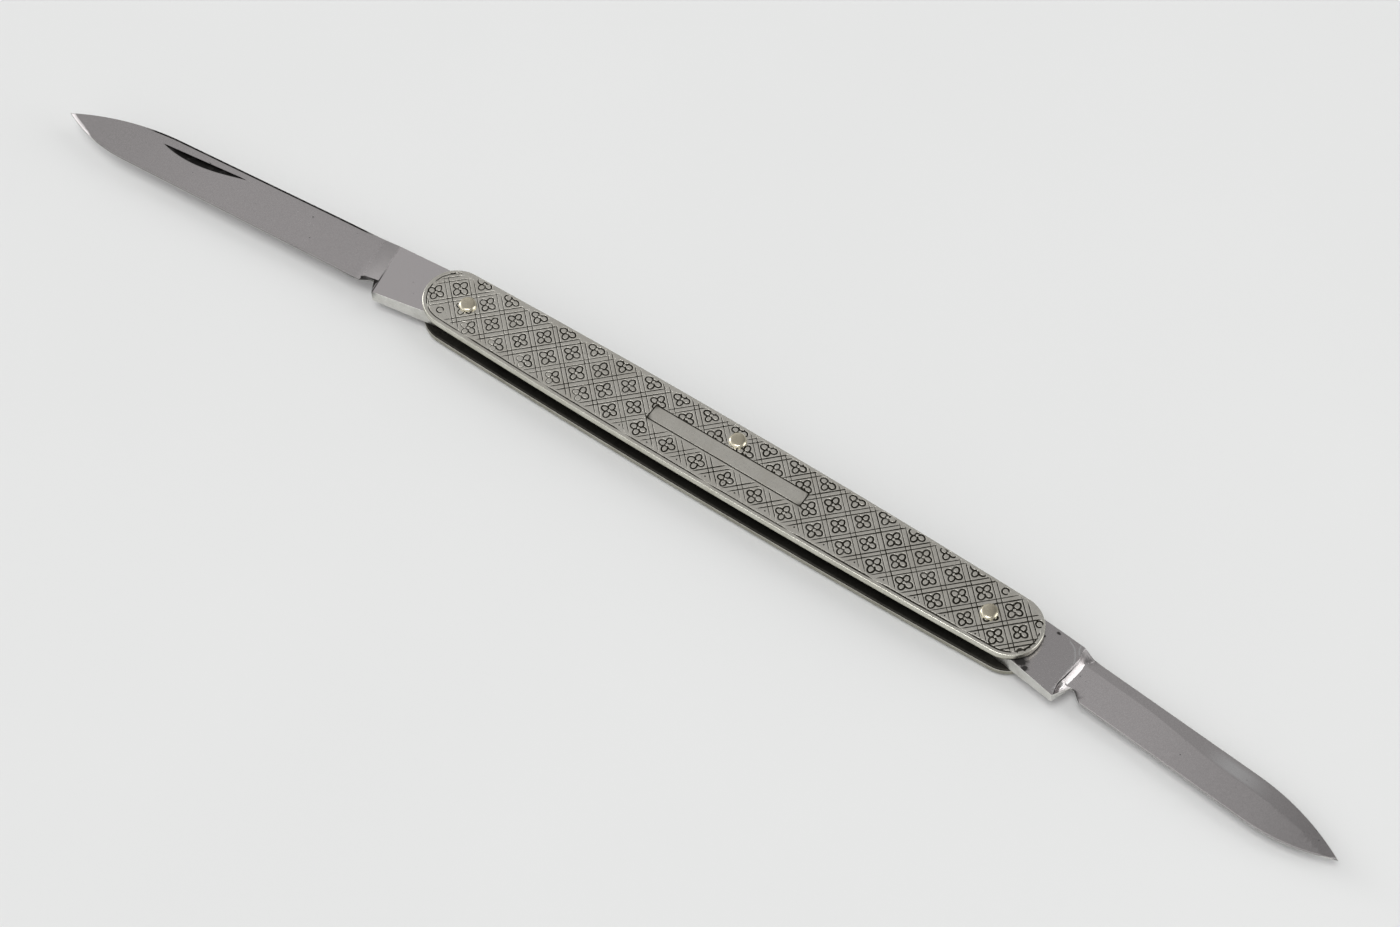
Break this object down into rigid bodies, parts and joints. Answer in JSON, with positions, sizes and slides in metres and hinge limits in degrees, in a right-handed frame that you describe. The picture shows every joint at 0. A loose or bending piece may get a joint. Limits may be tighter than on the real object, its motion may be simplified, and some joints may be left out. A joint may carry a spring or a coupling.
{
  "type": "folding pen knife",
  "caption": "Slim folding pen knife: engraved metal scales over liners, a master blade and a smaller pen blade pivoted at opposite ends, and a shared back spring, shown with its blades open.",
  "frame": {"origin": "centre of the flat outer face of the spring pin's rear head, in the middle of the handle, on the surface that the knife lies on", "axes": "+Z points out of the front scale, away from the surface that the knife lies on; +X runs along the handle from the master blade towards the pen blade; +Y points to the back of the knife, where the spring lies"},
  "size_m": [0.1665, 0.0099, 0.0051],
  "materials": {
    "scale": "engraved nickel silver, worn bright on the rims and dark in the cuts",
    "liner": "plain nickel silver sheet, dull with age",
    "spring": "ground spring steel, darkened in the slot",
    "blade": "finely ground carbon steel with a soft sheen",
    "pin": "pale nickel silver wire, peened to low button heads"
  },
  "bodies": {
    "handle": {"front_scale": "scale", "rear_scale": "scale", "front_liner": "liner", "rear_liner": "liner", "back_spring": "spring", "master_pivot_pin": "pin", "pen_pivot_pin": "pin", "spring_pin": "pin"},
    "master": {"master_blade": "blade"},
    "pen": {"pen_blade": "blade"}
  },
  "joints": [
    {"name": "master_pivot", "type": "hinge", "parent": "handle", "child": "master", "pos_m": [-0.0346, -0.0024, 0.00255], "axis": [0, 0, 1], "range_deg": [0, 172.1], "deforming": ["back_spring"]},
    {"name": "pen_pivot", "type": "hinge", "parent": "handle", "child": "pen", "pos_m": [0.0337, -0.0024, 0.00255], "axis": [0, 0, -1], "range_deg": [0, 172], "deforming": ["back_spring"]}
  ]
}
